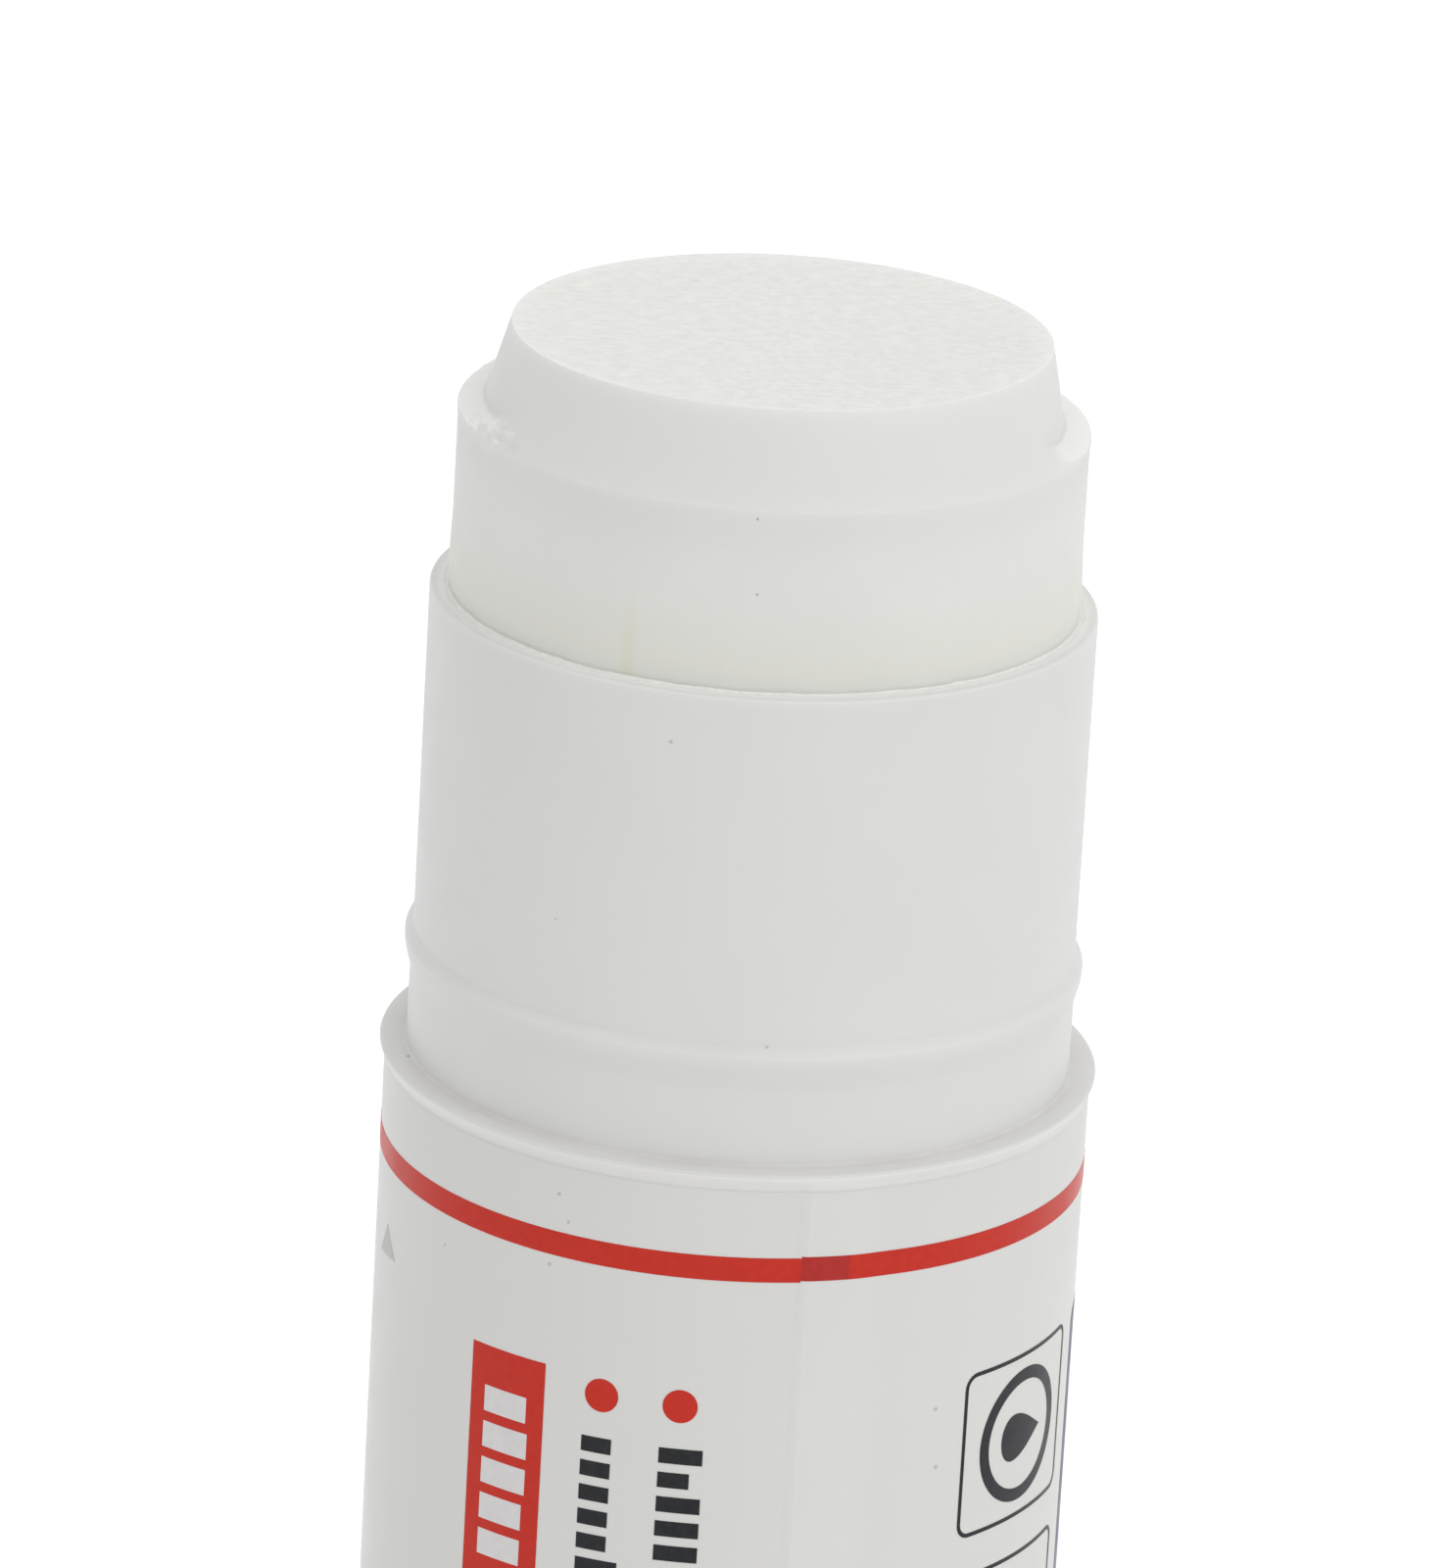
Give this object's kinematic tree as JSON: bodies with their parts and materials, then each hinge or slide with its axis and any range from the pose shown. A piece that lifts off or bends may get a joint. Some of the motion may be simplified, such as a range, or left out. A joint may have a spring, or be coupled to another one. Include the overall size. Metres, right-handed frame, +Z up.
{
  "type": "glue stick",
  "caption": "Twist-up glue stick with a white barrel, stepped neck and solid glue standing out of it; its cap stands beside it.",
  "frame": {"origin": "centre of the knob's resting face, on the stick's axis", "axes": "+Z up along the stick's axis; +X towards the cap set down beside it; -Y is the pictured side with the label's seam"},
  "size_m": [0.0646, 0.0264, 0.1036],
  "materials": {
    "barrel": "satin white moulded polypropylene",
    "label": "white printed film with a red band and plain marks",
    "glue": "waxy off-white solid glue, slightly translucent",
    "carrier": "natural white moulding",
    "screw": "natural white moulding",
    "knob": "satin white moulding with a fluted grip",
    "cap": "satin white moulding"
  },
  "bodies": {
    "barrel": {"barrel": "barrel", "label_wrap": "label"},
    "twist": {"twist_knob": "knob", "lead_screw": "screw"},
    "lift": {"carrier_cup": "carrier", "glue": "glue"},
    "cap": {"cap": "cap"}
  },
  "joints": [
    {"name": "knob_turn", "type": "hinge", "parent": "barrel", "child": "twist", "pos_m": [0, 0, 0], "axis": [0, 0, 1], "range_deg": [-720, 3168]},
    {"name": "glue_lift", "type": "slide", "parent": "barrel", "child": "lift", "axis": [0, 0, 1], "range_m": [-0.01, 0.044]},
    {"name": "cap_lift", "type": "slide", "parent": "barrel", "child": "cap", "axis": [0, 0, 1], "range_m": [0, 0.06]}
  ],
  "couplings": [
    {"joint": "knob_turn", "follows": "glue_lift", "rad_per_m": 1256.6}
  ]
}
